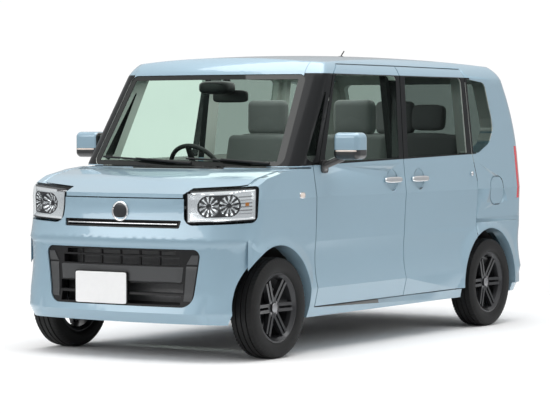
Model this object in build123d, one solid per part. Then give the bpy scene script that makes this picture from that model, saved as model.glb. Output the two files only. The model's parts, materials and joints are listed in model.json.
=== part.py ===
from build123d import *
import os
from math import cos, radians, sin, sqrt

# A small four-wheeled van-shaped car with hinged front doors and sliding rear doors, in millimetres.
# X points to the car's left, Y to its rear and Z up. The origin is on the ground, under the middle of
# the body's length and width.

# Overall sizes
LENGTH = 3395
WIDTH = 1475
ROOF_TOP = 1630
WHEELBASE = 2395
FRONT_AXLE_Y = -1222
REAR_AXLE_Y = FRONT_AXLE_Y + WHEELBASE
TRACK = 1300
NOSE_Y = -LENGTH / 2
TAIL_Y = LENGTH / 2
HALF_WIDTH = WIDTH / 2

# Walls and gaps
SKIN = 14
WALL = 45
FRAME_DEPTH = 85
SEAL_GAP = 0.3
PANEL_GAP = 6
RUN_GAP = 0.4
FLANGE = 22
GLASS_INSET = 4
GLASS = 5

# Wheels and arches
TYRE_RADIUS = 266
TYRE_WIDTH = 155
RIM_FLANGE_RADIUS = 184
BEAD_RADIUS = 165
ARCH_RADIUS = 331
ARCH_LEAD = 25

# Levels
BODY_BOTTOM = 195
SILL_TOP = 246
BELT_Z = 1000
WINDSCREEN_BASE_Y = -1135
WINDSCREEN_BOW = 2300
NOSE_BOW = 3000
TAIL_BOW = 4000
DOME_AXIS_Y = 1300
ROOF_PEAK_Y = 450
ROOF_ARC_ACROSS = 5800
ROOF_ARC_ALONG = 20000

# Insets of the body's plan outline from the overall length and width, at each height. The columns
# are: height, side, front, rear, front corner radius, rear corner radius, and whether a crease
# runs around the body at this height.
TUB_ROWS = [
    (BODY_BOTTOM, 37, 34, 45, 205, 110, True),
    (250, 22, 0, 15, 225, 120, True),
    (350, 0, 22, 0, 240, 130, True),
    (430, 15, 25, 0, 240, 130, False),
    (600, 14, 25, 0, 240, 130, True),
    (624, 13, 12, 0, 235, 130, True),
    (720, 9, 44, 6, 225, 130, False),
    (838, 1, 57, 14, 215, 130, True),
    (1015, 19, 75, 22, 200, 120, True),
]
CABIN_ROWS = [
    (960, 30, 536, 20, 110, 120, True),
    (1015, 19, 572.5, 22, 110, 120, True),
    (1260, 46, 737, 58, 105, 115, False),
    (1500, 73, 897.5, 165, 100, 110, True),
    (1560, 112, 947, 215, 100, 110, False),
    (1590, 150, 995, 270, 100, 110, False),
    (1612, 215, 1075, 350, 100, 110, True),
]
# The bonnet's middle line from its front edge to under the windscreen: place along Y, height
BONNET_LINE = [(-1672, 800), (-1668, 845), (-1640, 868), (-1546, 902), (-1444, 947)]
BONNET_LINE += [(-1271, 980), (-1090, 997)]

os.makedirs("parts", exist_ok=True)


def save(name, shape):
    """Writes one node."""
    export_step(shape, f"parts/{name}.step")


def both_sides(shape):
    """The shape and its mirror image across the car's middle plane."""
    return [shape, mirror(shape, about=Plane.YZ)]


def block(x, y, z):
    """A box between two limits along each axis."""
    size = [limits[1] - limits[0] for limits in (x, y, z)]
    middle = [(limits[0] + limits[1]) / 2 for limits in (x, y, z)]
    return Pos(*middle) * Box(*size)


def flat_face(plane, points, radius=0):
    """A face on the plane through the points, its corners rounded by one radius or by one each."""
    if radius:
        edge = FilletPolyline(*points, radius=radius, close=True)
    else:
        edge = Polyline(*points, close=True)
    return plane * make_face(edge)


def across(points, x, radius=0):
    """A prism along X between two limits, its outline given as places along Y and heights."""
    face = flat_face(Plane.YZ.offset(x[0]), points, radius)
    return extrude(face, x[1] - x[0])


def lengthwise(points, y, radius=0):
    """A prism along Y between two limits, its outline given as places along X and heights."""
    face = flat_face(Plane.XZ.offset(-y[1]), points, radius)
    return extrude(face, y[1] - y[0])


def rod(start, end, radius):
    """A round bar between two points."""
    axis = Vector(*end) - Vector(*start)
    return extrude(Plane(origin=start, z_dir=axis) * Circle(radius), axis.length)


def sag(half_width, radius):
    """How far an arc of this radius falls back at the half width."""
    return radius - sqrt(radius**2 - half_width**2)


def outline(row, inset, bow):
    """The plan outline at one height: straight sides, bowed ends and rounded corners."""
    z, side, front, rear, front_radius, rear_radius, _ = row
    x = HALF_WIDTH - side - inset
    front_y = NOSE_Y + front + inset
    rear_y = TAIL_Y - rear - inset
    front_left = (x, front_y + sag(x, bow))
    front_right = (-x, front_y + sag(x, bow))
    rear_left = (x, rear_y - sag(x, TAIL_BOW))
    rear_right = (-x, rear_y - sag(x, TAIL_BOW))
    edges = [
        Line(rear_left, front_left),
        ThreePointArc(front_left, (0, front_y), front_right),
        Line(front_right, rear_right),
        ThreePointArc(rear_right, (0, rear_y), rear_left),
    ]
    face = make_face(edges)
    face = fillet([v for v in face.vertices() if v.Y < 0], front_radius - inset)
    face = fillet([v for v in face.vertices() if v.Y > 0], rear_radius - inset)
    return Pos(0, 0, z) * face


def stack(rows, inset, bow):
    """Lofts through the outlines, each loft running from one crease to the next."""
    group = [outline(rows[0], inset, bow)]
    form = None
    for row in rows[1:]:
        group.append(outline(row, inset, bow))
        if row[-1]:
            piece = loft(group, ruled=len(group) == 2)
            form = piece if form is None else form + piece
            group = group[-1:]
    return form


def bonnet_dome(inset):
    """All that lies under the bonnet's domed surface, round a vertical axis far behind it."""
    line = [(y + inset if i == 0 else y, z - inset) for i, (y, z) in enumerate(BONNET_LINE)]
    points = [(DOME_AXIS_Y, 1100), (DOME_AXIS_Y, 0), (2 * NOSE_Y, 0), (2 * NOSE_Y, line[0][1]), *line]
    points += [(-900, 1010 - inset), (-900, 1100)]
    face = flat_face(Plane.YZ, points)
    return revolve(face, Axis((0, DOME_AXIS_Y, 0), (0, 0, 1)), 360)


def roof_crown(inset):
    """All that lies under the roof's surface, arched across the car and along it."""
    top = ROOF_TOP - inset
    edge_z = top - sag(WIDTH, ROOF_ARC_ACROSS)
    edges = [
        ThreePointArc((-WIDTH, edge_z), (0, top), (WIDTH, edge_z)),
        Polyline((WIDTH, edge_z), (WIDTH, 600), (-WIDTH, 600), (-WIDTH, edge_z)),
    ]
    face = Plane.XZ.offset(-ROOF_PEAK_Y) * make_face(edges)
    hinge = Axis((0, ROOF_PEAK_Y, ROOF_TOP - ROOF_ARC_ALONG), (1, 0, 0))
    swing = 7
    return revolve(face.rotate(hinge, -swing), hinge, 2 * swing)


def body_form(inset):
    """The whole body's outer form, moved in by the inset."""
    first = (BODY_BOTTOM + inset, *TUB_ROWS[0][1:])
    tub = stack([first, *TUB_ROWS[1:]] if inset < 50 else [first, *TUB_ROWS[2:]], inset, NOSE_BOW)
    tub = tub & bonnet_dome(inset)
    cabin = stack(CABIN_ROWS, inset, WINDSCREEN_BOW)
    cap = extrude(outline(CABIN_ROWS[-1], inset, WINDSCREEN_BOW), 30)
    return tub + ((cabin + cap) & roof_crown(inset))


def arch(axle_y, radius, x):
    """A cylinder around one wheel, along X between two limits."""
    return rod((x[0], axle_y - ARCH_LEAD, TYRE_RADIUS), (x[1], axle_y - ARCH_LEAD, TYRE_RADIUS), radius)


def largest(shape):
    """The biggest solid of a shape."""
    return max(shape.solids(), key=lambda solid: solid.volume)


# Forms that the panels are cut from
FORM = body_form(0)
CORE = body_form(WALL)
SEAL_FORM = body_form(WALL + SEAL_GAP)
FRAME_CORE = body_form(FRAME_DEPTH)
RECESS_FORM = body_form(GLASS_INSET + GLASS)
PANE = body_form(GLASS_INSET) - RECESS_FORM

# Arch swellings: a shallow cone round each wheel, held inside the widest outline of the body
SWELL = 112
SWELL_FOOT = 30
SWELL_LIP = 8
widest = extrude(outline((SILL_TOP, 0, 24, 0, 240, 130, True), 0, NOSE_BOW), 600)
LEFT = block((0, WIDTH), (NOSE_Y - 50, TAIL_Y + 50), (0, ROOF_TOP + 50))
left_form = FORM & LEFT
for axle_y in (FRONT_AXLE_Y, REAR_AXLE_Y):
    seat = Plane(origin=(HALF_WIDTH - SWELL_FOOT, axle_y - ARCH_LEAD, TYRE_RADIUS), z_dir=(1, 0, 0))
    ends = (ARCH_RADIUS + SWELL, ARCH_RADIUS + SWELL_LIP)
    cone = seat * Cone(*ends, SWELL_FOOT, align=(Align.CENTER, Align.CENTER, Align.MIN))
    left_form = left_form + (cone & widest)

skin_shell = left_form - CORE
frame_shell = left_form - FRAME_CORE
outer_layer = left_form - SEAL_FORM
wheel_holes = [arch(axle_y, ARCH_RADIUS, (420, HALF_WIDTH + 50)) for axle_y in (FRONT_AXLE_Y, REAR_AXLE_Y)]


def cut(shape, cutters):
    """The shape without any of the cutters."""
    for cutter in cutters:
        shape = shape - cutter
    return shape


# Outlines of the openings, as places along Y and heights
DOOR_FRONT_Y = -860
DOOR_REAR_Y = 100
SLIDER_REAR_Y = 977
DOOR_TOP = 1558
FRONT_DOOR = [
    (DOOR_FRONT_Y, SILL_TOP + PANEL_GAP),
    (DOOR_FRONT_Y, 720),
    (DOOR_FRONT_Y - 22, 1012),
    (-822, 1016),
    (-585, 1500),
    (-490, DOOR_TOP),
    (150, DOOR_TOP),
    (DOOR_REAR_Y, 1016),
    (DOOR_REAR_Y, SILL_TOP + PANEL_GAP),
]
SLIDING_DOOR = [
    (DOOR_REAR_Y + PANEL_GAP, SILL_TOP + PANEL_GAP),
    (DOOR_REAR_Y + PANEL_GAP, 1016),
    (150 + PANEL_GAP + 2, DOOR_TOP),
    (936, DOOR_TOP - 4),
    (938, 1060),
    (SLIDER_REAR_Y, 900),
    (SLIDER_REAR_Y, SILL_TOP + PANEL_GAP),
]
FRONT_PANE = [(-765, 1024), (-566, 1500), (104, 1503), (52, 1036)]
SLIDING_PANE = [(158, 1039), (206, 1503), (884, 1501), (874, 1052)]
REAR_QUARTER = [(962, 1055), (1035, 1056), (1180, 1112), (1243, 1195)]
REAR_QUARTER += [(1240, 1262), (1188, 1478), (962, 1499)]
FRONT_QUARTER = [(-944, 1046), (-893, 1026), (-846, 1060), (-680, 1400), (-686, 1412)]
WINDSCREEN = [(-628, 1004), (628, 1004), (580, 1502), (-580, 1502)]
TAILGATE = [(-600, 662), (600, 662), (600, 1010), (548, 1556)]
TAILGATE += [(543, 1640), (-543, 1640), (-548, 1556), (-600, 1010)]
REAR_WINDOW = [(-540, 1060), (540, 1060), (500, 1478), (-500, 1478)]
SIDE_X = (0.5 * HALF_WIDTH, HALF_WIDTH + 50)
REAR_Y = (1200, TAIL_Y + 50)
FRONT_Y = (NOSE_Y - 50, -500)


def grown(plane, points, amount):
    """The outline moved outwards by the amount, as a face."""
    return plane * offset(make_face(Polyline(*points, close=True)), amount, kind=Kind.INTERSECTION)


def opening(plane, points, depth):
    """Cutters for a panel's opening: the gap round the panel, and the way through inside its flange."""
    gap = extrude(grown(plane, points, PANEL_GAP), depth) & outer_layer
    through = extrude(grown(plane, points, -FLANGE), depth)
    return [gap, through]


side_plane = Plane.YZ.offset(SIDE_X[0])
side_depth = SIDE_X[1] - SIDE_X[0]
rear_plane = Plane.XZ.offset(-REAR_Y[1])
rear_depth = REAR_Y[1] - REAR_Y[0]

# Side frames: sill, pillars, roof rail and rear quarter, with flanges behind the doors and the hatch
JAMB_Y = -905
SILL_INNER_X = 540
ROOF_EDGE_X = 566
BUMPER_SEAM_Y = 1300
BUMPER_TOP = 628
POST = (62, 168)
side_region = across(
    [
        (JAMB_Y, BODY_BOTTOM - 5),
        (JAMB_Y, BELT_Z),
        (-1300, BELT_Z),
        (-1300, ROOF_TOP + 20),
        (TAIL_Y + 20, ROOF_TOP + 20),
        (TAIL_Y + 20, BUMPER_TOP),
        (BUMPER_SEAM_Y, BUMPER_TOP),
        (BUMPER_SEAM_Y, BODY_BOTTOM - 5),
    ],
    (SILL_INNER_X, HALF_WIDTH + 50),
)
HINGE_SPACE_TOP = 1022
HINGE_SPACE_REAR_Y = -765
front_opening = opening(side_plane, FRONT_DOOR, side_depth)
hinge_space = across(
    [
        (JAMB_Y + 12, SILL_TOP + PANEL_GAP),
        (JAMB_Y + 12, HINGE_SPACE_TOP),
        (HINGE_SPACE_REAR_Y, HINGE_SPACE_TOP),
        (HINGE_SPACE_REAR_Y, SILL_TOP + PANEL_GAP),
    ],
    (SIDE_X[0], HALF_WIDTH - SKIN - 20),
)
slider_opening = opening(side_plane, SLIDING_DOOR, side_depth)
tailgate_opening = opening(rear_plane, TAILGATE, rear_depth)
posts = left_form & block((SIDE_X[0], HALF_WIDTH), POST, (SILL_TOP, DOOR_TOP + 30))
posts = (posts & SEAL_FORM) - FRAME_CORE
side_frame = cut(frame_shell & side_region, [*front_opening, hinge_space, *slider_opening, *tailgate_opening])
side_frame = side_frame + posts
windscreen_hole = extrude(flat_face(Plane.XZ.offset(-FRONT_Y[1]), WINDSCREEN, 45), FRONT_Y[1] - FRONT_Y[0])
quarter_holes = [
    across(FRONT_QUARTER, SIDE_X, [18, 18, 18, 4, 4]),
    across(REAR_QUARTER, SIDE_X, [12, 60, 80, 40, 60, 50, 8]),
]
roof_middle = block((0, ROOF_EDGE_X + 2), (-900, 1400), (1490, ROOF_TOP + 20))
hatch_corner = block((528, 562), (1394, 1444), (1500, 1546))
side_frame = cut(side_frame, [windscreen_hole, *quarter_holes, roof_middle, hatch_corner, *wheel_holes])

# Slide rail for the rear door: a groove along the rear quarter
RAIL_HEIGHT = (636, 660)
RAIL_DEPTH_X = 722
side_frame = side_frame - block((RAIL_DEPTH_X, HALF_WIDTH + 20), (SLIDER_REAR_Y, TAIL_Y), RAIL_HEIGHT)

# Fuel flap in the left rear quarter, hinged at its front edge, with a pocket behind it
FLAP_Y = 1232
FLAP_Z = 825
FLAP_WIDTH = 160
FLAP_HEIGHT = 165
FLAP_GAP = 5.6
FLAP_THICK_FROM = 723
POCKET_X = 700
flap_plane = Plane.YZ.offset(POCKET_X) * Pos(FLAP_Y, FLAP_Z)
pocket_size = (FLAP_WIDTH + 2 * FLAP_GAP, FLAP_HEIGHT + 2 * FLAP_GAP)
pocket = extrude(flap_plane * RectangleRounded(*pocket_size, 60), 100)
filler_neck = rod((POCKET_X, FLAP_Y + 10, FLAP_Z), (POCKET_X + 12, FLAP_Y + 10, FLAP_Z), 32)
buffer = rod((POCKET_X, FLAP_Y + 52, FLAP_Z), (FLAP_THICK_FROM - SEAL_GAP, FLAP_Y + 52, FLAP_Z), 6)
left_frame = side_frame - pocket + filler_neck + buffer
flap_solid = extrude(flap_plane * RectangleRounded(FLAP_WIDTH, FLAP_HEIGHT, 57), 100)
flap_block = block((FLAP_THICK_FROM, HALF_WIDTH + 20), (FLAP_Y - 200, FLAP_Y + 200), (600, 1000))
fuel_flap = (FORM & flap_solid) & flap_block

save("fuel_flap", fuel_flap)

# Roof panel, up to the windscreen, the side frames and the hatch
ROOF_REAR_Y = 1396
roof_zone = block((-ROOF_EDGE_X, ROOF_EDGE_X), (-950, ROOF_REAR_Y), (1490, ROOF_TOP + 20))
roof_panel = (FORM & roof_zone) - CORE - windscreen_hole
save("roof_panel", roof_panel)

# Panes
side_holes = [across(FRONT_PANE, SIDE_X, [25, 30, 35, 15]), across(SLIDING_PANE, SIDE_X, [15, 30, 30, 15])]
left_pane = PANE & LEFT
door_glass = [left_pane & hole for hole in side_holes]
quarter_glass = [left_pane & hole for hole in quarter_holes]
fixed_glass = [door_glass[1], *quarter_glass]
fixed_glass += [mirror(glass, about=Plane.YZ) for glass in fixed_glass]
save("side_glass", Compound(children=fixed_glass))
save("windscreen", PANE & windscreen_hole)
rear_hole = extrude(flat_face(rear_plane, REAR_WINDOW, 45), rear_depth)
save("tailgate_glass", PANE & rear_hole)

# Doors: each as thick as the whole wall, with a scoop and a bar handle
HANDLE_Z = 915
SCOOP_RADIUS = 62
SCOOP_DEPTH = 10
HANDLE_X = 736
FRONT_HANDLE_Y = (-172, 79)
REAR_HANDLE_Y = (145, 389)
HANDLE_WIDTH = 185


def with_handle(door, reach):
    """The door with a round scoop and a bar bridging it; reach is where the bar ends along Y."""
    middle = (reach[0] + reach[1]) / 2
    scoop_x = HALF_WIDTH - SCOOP_DEPTH
    scoop = rod((scoop_x - 6, middle, HANDLE_Z), (HALF_WIDTH + 10, middle, HANDLE_Z), SCOOP_RADIUS)
    half = HANDLE_WIDTH / 2
    bar = block((HANDLE_X - 6, HANDLE_X + 6), (middle - half, middle + half), (HANDLE_Z - 14, HANDLE_Z + 14))
    door = door - scoop + fillet(bar.edges().filter_by(Axis.X), 13)
    for foot_y in (middle - half + 22, middle + half - 22):
        door = door + block((HANDLE_X - 20, HANDLE_X), (foot_y - 12, foot_y + 12), (HANDLE_Z - 11, HANDLE_Z + 11))
    return door


DOOR_X = (ROOF_EDGE_X + 8, HALF_WIDTH + 50)
front_door = (skin_shell & across(FRONT_DOOR, DOOR_X)) - side_holes[0]
front_door = with_handle(front_door, FRONT_HANDLE_Y)
sliding_door = cut(skin_shell & across(SLIDING_DOOR, DOOR_X), [side_holes[1], wheel_holes[1]])
sliding_door = with_handle(sliding_door, REAR_HANDLE_Y)
for side, door, glass in zip(("left", "right"), both_sides(front_door), both_sides(door_glass[0])):
    save(f"front_door_{side}", door)
    save(f"front_door_glass_{side}", glass)
for side, door in zip(("left", "right"), both_sides(sliding_door)):
    save(f"sliding_door_{side}", door)

# Door mirrors: a rounded housing on a short arm from the door's front corner
MIRROR_MIDDLE = (866, -742, 1112)
MIRROR_SIZE = (164, 112, 146)
housing = Pos(*MIRROR_MIDDLE) * Box(*MIRROR_SIZE)
housing = fillet(housing.edges(), 30)
mirror_base = (716, -778, 1002)
arm = rod(mirror_base, (MIRROR_MIDDLE[0] - 45, MIRROR_MIDDLE[1], MIRROR_MIDDLE[2] - 62), 20)
foot = extrude(Plane(origin=mirror_base, z_dir=(1, 0, 0)) * RectangleRounded(70, 64, 16), 16)
door_mirror = housing + (arm + foot - left_form)
for side, shape in zip(("left", "right"), both_sides(door_mirror)):
    save(f"door_mirror_{side}", shape)

# Front panels: bonnet, fenders, bumper, cowl and lamps
BONNET_EDGE_X = 662
BONNET_REAR_GAP = 30
BONNET_FRONT_Z = 848
LAMP_TURN = 35
front_box = block((-WIDTH, WIDTH), (NOSE_Y - 50, -820), (0, ROOF_TOP))
front_form = FORM & front_box
front_skin = front_form - CORE
bow_axis_y = WINDSCREEN_BASE_Y + WINDSCREEN_BOW


def bow_column(radius):
    """An upright cylinder whose front follows the windscreen's base."""
    return Pos(0, bow_axis_y, 0) * Cylinder(radius, 2 * ROOF_TOP)


def bonnet_outline(gap):
    """The bonnet's outline from the front, grown by the gap: straight between the lamps, up over them."""
    side = BONNET_EDGE_X + gap
    low = BONNET_FRONT_Z - gap
    lamp_top = 917 - gap
    right = [(-side, 1100), (-side, lamp_top), (-470, 886 - gap), (-392, low)]
    return right + [(-x, z) for x, z in reversed(right)]


bonnet_rear = bow_column(WINDSCREEN_BOW + BONNET_REAR_GAP)
bonnet = (front_skin & lengthwise(bonnet_outline(0), (NOSE_Y - 20, -900))) - bonnet_rear
gap_rear = bow_column(WINDSCREEN_BOW + BONNET_REAR_GAP - PANEL_GAP)
bonnet_gap = lengthwise(bonnet_outline(PANEL_GAP), (NOSE_Y - 20, -900)) - gap_rear
bonnet_gap = bonnet_gap & (front_form - SEAL_FORM)
BAY_HALF_WIDTH = 640
under_bonnet = block((-BAY_HALF_WIDTH, BAY_HALF_WIDTH), (NOSE_Y - 20, -900), (700, 1100))
under_bonnet = under_bonnet - bow_column(WINDSCREEN_BOW + 6)

lamp_across = (cos(radians(LAMP_TURN)), sin(radians(LAMP_TURN)), 0)
lamp_ahead = (sin(radians(LAMP_TURN)), -cos(radians(LAMP_TURN)), 0)
lamp_plane = Plane(origin=(0, 0, 0), x_dir=lamp_across, z_dir=lamp_ahead)
LAMP = [(-612, 704), (-232, 722), (-222, 912), (-560, 892), (-612, 862)]
lamp_hole = extrude(flat_face(lamp_plane.offset(800), LAMP, [45, 40, 18, 60, 30]), 1100)
lamp = skin_shell & lamp_hole
lamp_clear = extrude(grown(lamp_plane.offset(800), LAMP, PANEL_GAP - 1), 1100)
save("bonnet", largest(cut(bonnet, both_sides(lamp_clear))))
save("headlamps", Compound(children=both_sides(lamp)))

FENDER = [(-1436, 716), (-1346, 556), (-1346, 180), (-866, 180), (-866, 990), (-1150, 996)]
FENDER += [(-1560, 996), (-1560, 905), (-1436, 905)]
fender = (frame_shell & across(FENDER, (300, HALF_WIDTH + 50))) - bonnet_gap
fender = cut(fender, [under_bonnet, lamp_hole, wheel_holes[0], side_region, hinge_space])
screen_foot = bow_column(WINDSCREEN_BOW) & block((0, BAY_HALF_WIDTH), (-1400, -820), (0, ROOF_TOP))
fender = largest(fender - screen_foot)
for side, shape in zip(("left", "right"), both_sides(fender)):
    save(f"fender_{side}", shape)

GRILLE = [(-455, 283), (455, 283), (500, 583), (-500, 583)]
SLOT = [(-368, 690), (368, 690), (376, 731), (-376, 731)]
grille_hole = lengthwise(GRILLE, (NOSE_Y - 50, -1500), [70, 70, 38, 38])
slot_hole = lengthwise(SLOT, (NOSE_Y - 50, -1500), 6)
bumper_back = [(-1346, 180), (-1346, 556), (-1436, 716), (-1436, 905), (NOSE_Y - 40, 905), (NOSE_Y - 40, 180)]
bumper_region = across(bumper_back, (-HALF_WIDTH - 50, HALF_WIDTH + 50))
full_front = (left_form & front_box) + mirror(left_form & front_box, about=Plane.YZ)
lamp_holes = both_sides(lamp_hole)
front_arches = both_sides(wheel_holes[0])
bumper_cuts = [bonnet_gap, *lamp_holes, *front_arches, grille_hole, slot_hole]
front_bumper = cut((full_front - CORE) & bumper_region, bumper_cuts)
front_bumper = front_bumper - lengthwise([(-560, 100), (-560, 241), (560, 241), (560, 100)], (-1560, -1200))
save("front_bumper", largest(front_bumper))
cowl_ring = bow_column(WINDSCREEN_BOW + BONNET_REAR_GAP - PANEL_GAP) - bow_column(WINDSCREEN_BOW - 12)
cowl_zone = block((-640, 640), (-1200, -980), (900, BELT_Z - 4))
cowl = (RECESS_FORM - FRAME_CORE) & cowl_zone & cowl_ring
save("cowl", largest(cut(cowl, [*both_sides(fender), *both_sides(lamp)])))

# Grille: a frame with slots between its bars, behind it the radiator, and a slim grille in the upper slot
# Columns: lowest height, highest height, half width of each slot
GRILLE_SLOTS = [(293, 341, 385), (355, 403, 395), (497, 539, 375), (549, 572, 350)]
SLOT_STAYS = [-250, -125, 0, 125, 250]
recess_front = (RECESS_FORM & front_box) - CORE
grille = recess_front & grille_hole
for low, high, half in GRILLE_SLOTS:
    grille = grille - block((-half, half), (NOSE_Y - 20, -1500), (low, high))
stay_y = -1640
for x in SLOT_STAYS:
    low, high, half = GRILLE_SLOTS[2]
    grille = grille + block((x - 5, x + 5), (stay_y - 4, stay_y + 6), (low, GRILLE_SLOTS[3][1]))
PLATE_X = -102
PLATE_BOLT_Z = 437
PLATE_BOLT_SPACING = 210
PLATE_BOLT_RADIUS = 3.3
PLATE_FACE_Y = -1668
for side in (-1, 1):
    bolt_x = PLATE_X + side * PLATE_BOLT_SPACING / 2
    boss = rod((bolt_x, PLATE_FACE_Y, PLATE_BOLT_Z), (bolt_x, PLATE_FACE_Y + 30, PLATE_BOLT_Z), 14)
    bolt_ends = ((bolt_x, NOSE_Y - 20, PLATE_BOLT_Z), (bolt_x, -1500, PLATE_BOLT_Z))
    grille = (grille + boss) - rod(*bolt_ends, PLATE_BOLT_RADIUS)
slim = recess_front & slot_hole
slim_slits = [block((-355, 355), (NOSE_Y, -1500), heights) for heights in ((698, 706), (716, 725))]
slim = cut(slim, [*lamp_holes, *slim_slits])
save("grille", Compound(children=[largest(grille), largest(slim)]))

# Tail: hatch, lamps and bumper
rear_box = block((-WIDTH, WIDTH), (1150, TAIL_Y + 50), (0, ROOF_TOP + 50))
rear_half = left_form & rear_box
full_rear = rear_half + mirror(rear_half, about=Plane.YZ)
rear_skin = full_rear - CORE
TAIL_LAMP_FRONT_Y = 1502
tail_lamp_zone = block((606, 760), (TAIL_LAMP_FRONT_Y, TAIL_Y + 50), (772, 1092))
tail_lamp = (rear_half - CORE) & tail_lamp_zone
save("tail_lamps", Compound(children=both_sides(tail_lamp)))
for side, shape in zip(("left", "right"), (left_frame, mirror(side_frame, about=Plane.YZ))):
    lamp_cut = tail_lamp_zone if side == "left" else mirror(tail_lamp_zone, about=Plane.YZ)
    save(f"side_frame_{side}", largest(shape - lamp_cut))
tailgate_prism = lengthwise(TAILGATE, REAR_Y)
roof_clear = block((-WIDTH, WIDTH), (0, ROOF_REAR_Y + PANEL_GAP), (1300, ROOF_TOP + 50))
save("tailgate", largest(cut(rear_skin & tailgate_prism, [rear_hole, roof_clear])))
rear_bumper_zone = block((-WIDTH, WIDTH), (BUMPER_SEAM_Y, TAIL_Y + 50), (BODY_BOTTOM - 5, BUMPER_TOP))
lip_zone = block((-SILL_INNER_X + 2, SILL_INNER_X - 2), (1480, TAIL_Y + 50), (BUMPER_TOP - 1, 654))
rear_bumper = cut(rear_skin & rear_bumper_zone, both_sides(wheel_holes[1])) + (rear_skin & lip_zone)
rear_bumper = rear_bumper - block((-520, 520), (0, 1600), (100, 244))
save("rear_bumper", largest(rear_bumper))

# Floor, bulkhead and load floor, as one pressing
FLOOR_Z = 205
FLOOR_THICK = 28
FLOOR_HALF_WIDTH = SILL_INNER_X
FLOOR_LINE = [(-985, 925), (-985, 430), (-800, FLOOR_Z), (600, FLOOR_Z), (665, 395), (1600, 395)]
upper_line = [(-985 + FLOOR_THICK, 925), (-985 + FLOOR_THICK, 445), (-785, FLOOR_Z + FLOOR_THICK)]
upper_line += [(585, FLOOR_Z + FLOOR_THICK), (645, 395 + FLOOR_THICK), (1600, 395 + FLOOR_THICK)]
floor_pan = across([*FLOOR_LINE, *reversed(upper_line)], (-FLOOR_HALF_WIDTH, FLOOR_HALF_WIDTH))
liner_clear = [arch(axle_y, ARCH_RADIUS + 12, (400, 700)) for axle_y in (FRONT_AXLE_Y, REAR_AXLE_Y)]
for cutter in liner_clear:
    floor_pan = cut(floor_pan, both_sides(cutter))
save("floor_pan", largest(floor_pan))

# Wheel-house liners
LINER = 10
LINER_OUT_X = 646
# Columns: axle, innermost X, lowest height of the shell
LINERS = [(FRONT_AXLE_Y, 415, 300), (REAR_AXLE_Y, 488, 330)]
liners = []
for axle_y, inner_x, low in LINERS:
    shell = arch(axle_y, ARCH_RADIUS + LINER, (inner_x, LINER_OUT_X))
    shell = shell - arch(axle_y, ARCH_RADIUS, (inner_x + LINER, LINER_OUT_X + 1))
    shell = shell - block((0, WIDTH), (axle_y - 500, axle_y + 500), (-200, low))
    if axle_y == FRONT_AXLE_Y:
        shell = shell - block((0, 585), (axle_y - 80, axle_y + 80), (360, 900))
    liners += both_sides(largest(shell & FRAME_CORE))
save("wheel_liners", Compound(children=liners))

# Wheels, each of a rim with six twin spokes and a tyre, made along +X and set at its hub
HUB_FACE_X = -12
RIM_HALF = 62
SPOKES = 6
SPOKE_SPREAD = 15
rim_outer = [(BEAD_RADIUS, -50), (BEAD_RADIUS, 50), (178, 56), (RIM_FLANGE_RADIUS, RIM_HALF)]
rim_inner = [(176, RIM_HALF), (160, 44), (153, 20), (157, -48), (176, -RIM_HALF)]
rim_inner += [(RIM_FLANGE_RADIUS, -RIM_HALF), (178, -56)]
rim_section = flat_face(Plane.XY, [(x, r) for r, x in [*rim_outer, *rim_inner]])
ring = revolve(rim_section, Axis.X, 360)
hub = rod((HUB_FACE_X, 0, 0), (34, 0, 0), 50) + rod((30, 0, 0), (40, 0, 0), 27)
spoke_face = flat_face(Plane.XY, [(8, 30), (34, 30), (52, 158), (26, 158)])
for i in range(SPOKES):
    for side in (-1, 1):
        spoke = extrude(Pos(0, 0, side * SPOKE_SPREAD - 8.5) * spoke_face, 17)
        hub = hub + spoke.rotate(Axis.X, i * 360 / SPOKES)
for i in range(4):
    turn = radians(45 + 90 * i)
    hub = hub - rod((22, 38 * cos(turn), 38 * sin(turn)), (60, 38 * cos(turn), 38 * sin(turn)), 8)
disc = rod((HUB_FACE_X, 0, 0), (HUB_FACE_X + 10, 0, 0), 112)
rim = ring + hub + disc
tyre_half = TYRE_WIDTH / 2
tyre_points = [(BEAD_RADIUS, 50), (178, 56), (RIM_FLANGE_RADIUS, RIM_HALF), (192, 70)]
tyre_points += [(216, tyre_half), (240, tyre_half - 2)]
tyre_points += [(258, 66), (TYRE_RADIUS, 50)]
mirrored = [(r, -x) for r, x in reversed(tyre_points)]
tyre_section = flat_face(Plane.XY, [(x, r) for r, x in [*tyre_points, *mirrored]])
tyre = revolve(tyre_section, Axis.X, 360)
for place, axle_y in (("front", FRONT_AXLE_Y), ("rear", REAR_AXLE_Y)):
    at = Pos(TRACK / 2, axle_y, TYRE_RADIUS)
    for side, shapes in zip(("left", "right"), zip(both_sides(at * rim), both_sides(at * tyre))):
        save(f"rim_{place}_{side}", shapes[0])
        save(f"tyre_{place}_{side}", shapes[1])

# Steered knuckles, each with its strut, turning about an axis from the lower ball joint to the strut's top
HUB_X = TRACK / 2 + HUB_FACE_X
BALL = (600, FRONT_AXLE_Y - 6, 176)
STRUT_TOP = (508, FRONT_AXLE_Y + 14, 860)
pin_line = (Vector(*STRUT_TOP) - Vector(*BALL)).normalized()


def on_pin(distance, radius, length):
    """A disc on the steering axis, its lower face at a distance from the ball joint."""
    return extrude(Plane(origin=Vector(*BALL) + pin_line * distance, z_dir=pin_line) * Circle(radius), length)


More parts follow.
